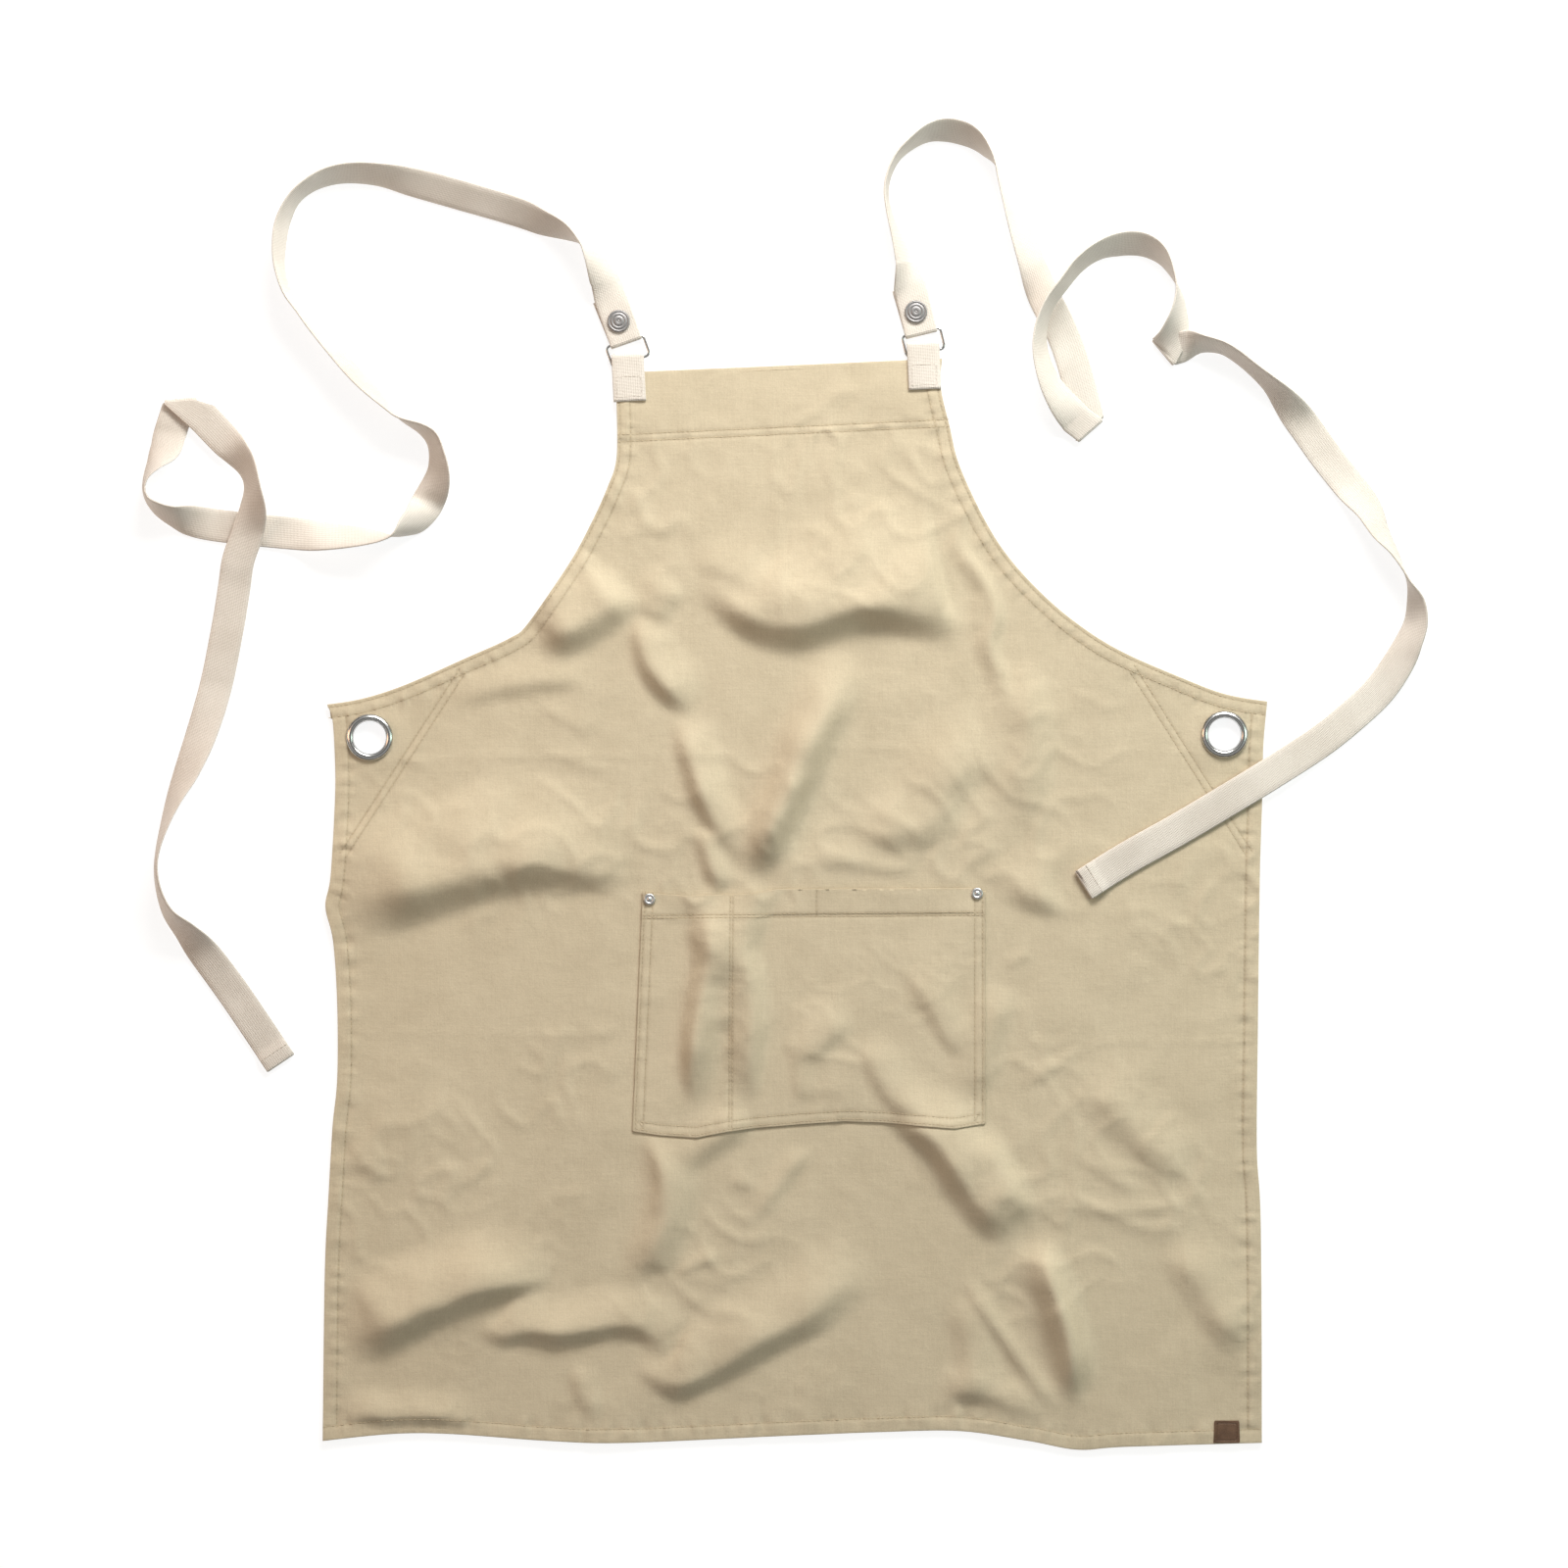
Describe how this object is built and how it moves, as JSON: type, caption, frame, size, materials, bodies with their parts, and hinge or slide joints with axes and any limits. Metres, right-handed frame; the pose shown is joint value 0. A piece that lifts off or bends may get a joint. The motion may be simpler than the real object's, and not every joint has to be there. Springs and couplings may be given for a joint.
{
  "type": "cross back apron",
  "caption": "Twill bib apron lying flat, with a divided patch pocket, eyelet grommets and loose webbing straps held by wire rings.",
  "frame": {"origin": "middle of the apron's box, on the surface that it lies on", "axes": "+X to the right of the apron seen from its front, +Y up the bib, +Z out of the front of the cloth"},
  "size_m": [0.9498, 0.984, 0.0268],
  "materials": {
    "twill": "washed khaki cotton twill",
    "webbing": "cream cotton webbing",
    "nickel": "nickel plated steel",
    "label_leather": "thin brown leather"
  },
  "bodies": {
    "root": {"apron_panel": "twill", "bib_facing": "twill", "armhole_binding_left": "twill", "armhole_binding_right": "twill", "side_hem_left": "twill", "side_hem_right": "twill", "bottom_hem": "twill", "corner_patch_left": "twill", "corner_patch_right": "twill", "pocket": "twill", "pocket_rivet_left": "nickel", "pocket_rivet_right": "nickel", "grommet_left": "nickel", "grommet_right": "nickel", "grommet_washer_left": "nickel", "grommet_washer_right": "nickel", "tab_left": "webbing", "tab_right": "webbing", "ring_left": "nickel", "ring_right": "nickel", "strap_left": "webbing", "strap_right": "webbing", "snap_left": "nickel", "snap_right": "nickel", "hem_label": "label_leather"}
  },
  "joints": []
}
